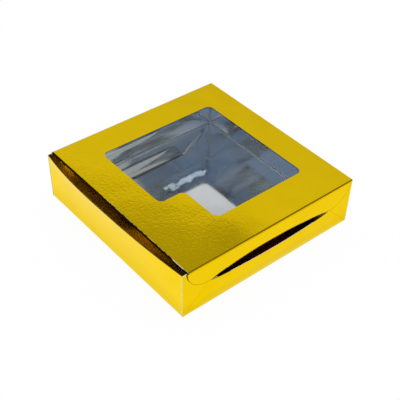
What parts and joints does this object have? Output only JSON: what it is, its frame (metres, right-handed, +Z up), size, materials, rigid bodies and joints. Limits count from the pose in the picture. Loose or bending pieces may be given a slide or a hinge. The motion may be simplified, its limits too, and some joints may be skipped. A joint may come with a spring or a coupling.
{
  "type": "pastry box",
  "caption": "Low square folding carton of metallic foil board with a clear film window in its hinged lid, a tuck front and side flaps that lock into slits.",
  "frame": {"origin": "middle of the underside of the bottom panel, on the surface the box stands on", "axes": "+Z up, -Y towards the front wall where the lid tucks in, +Y towards the hinge wall, +X and -X towards the slit sides"},
  "size_m": [0.2086, 0.2071, 0.051],
  "materials": {
    "gold_foil_board": "mirror-bright gold foil outside, silver foil inside, white board core at cut edges",
    "clear_film": "clear glossy window film"
  },
  "bodies": {
    "tray": {"bottom_panel": "gold_foil_board", "front_wall": "gold_foil_board", "rear_wall": "gold_foil_board", "right_lower_strip": "gold_foil_board", "right_upper_strip": "gold_foil_board", "front_right_gusset": "gold_foil_board", "rear_right_gusset": "gold_foil_board", "front_right_glue_tab": "gold_foil_board", "rear_right_glue_tab": "gold_foil_board", "left_lower_strip": "gold_foil_board", "left_upper_strip": "gold_foil_board", "front_left_gusset": "gold_foil_board", "rear_left_gusset": "gold_foil_board", "front_left_glue_tab": "gold_foil_board", "rear_left_glue_tab": "gold_foil_board"},
    "lid": {"lid_panel": "gold_foil_board", "window_film": "clear_film"},
    "tuck_flap": {"tuck_flap": "gold_foil_board"},
    "right_flap": {"right_side_flap": "gold_foil_board"},
    "left_flap": {"left_side_flap": "gold_foil_board"}
  },
  "joints": [
    {"name": "lid_hinge", "type": "hinge", "parent": "tray", "child": "lid", "pos_m": [0, 0.1, 0.051], "axis": [-1, 0, 0], "range_deg": [0, 180]},
    {"name": "tuck_flap_crease", "type": "hinge", "parent": "lid", "child": "tuck_flap", "pos_m": [0, -0.0965, 0.05035], "axis": [1, 0, 0], "range_deg": [0, 80]},
    {"name": "right_flap_crease", "type": "hinge", "parent": "lid", "child": "right_flap", "pos_m": [0.1008, 0, 0.051], "axis": [0, -1, 0], "range_deg": [0, 27]},
    {"name": "left_flap_crease", "type": "hinge", "parent": "lid", "child": "left_flap", "pos_m": [-0.1008, 0, 0.051], "axis": [0, 1, 0], "range_deg": [0, 27]}
  ],
  "couplings": [
    {"joint": "right_flap_crease", "follows": "lid_hinge", "ratio": 0.15},
    {"joint": "left_flap_crease", "follows": "lid_hinge", "ratio": 0.15}
  ]
}
